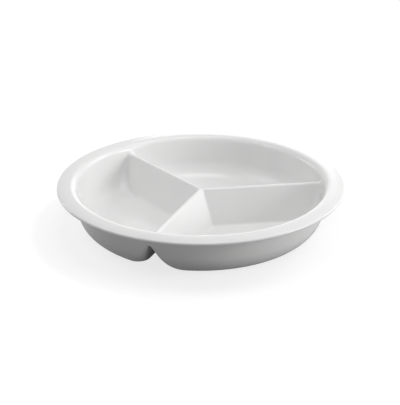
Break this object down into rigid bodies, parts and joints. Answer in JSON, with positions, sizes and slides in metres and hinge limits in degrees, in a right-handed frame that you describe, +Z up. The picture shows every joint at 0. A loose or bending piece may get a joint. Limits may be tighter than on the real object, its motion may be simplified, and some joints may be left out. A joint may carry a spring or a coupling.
{
  "type": "divided serving pan",
  "caption": "Round white porcelain serving pan with a flat rim, split into equal wells by hollow dividers whose grooves run out through the wall as notches.",
  "frame": {"origin": "on the table, under the centre of the rim", "axes": "+Z up out of the wells, +X along one divider"},
  "size_m": [0.3899, 0.39, 0.067],
  "materials": {
    "glazed_porcelain": "glossy white glaze",
    "bare_porcelain": "matt, wiped bare of glaze"
  },
  "bodies": {
    "root": {"rim": "glazed_porcelain", "well_back": "glazed_porcelain", "well_left": "glazed_porcelain", "well_right": "glazed_porcelain", "divider_right": "glazed_porcelain", "divider_back": "glazed_porcelain", "divider_front": "glazed_porcelain", "hub": "glazed_porcelain", "foot_back": "bare_porcelain", "foot_left": "bare_porcelain", "foot_right": "bare_porcelain"}
  },
  "joints": []
}
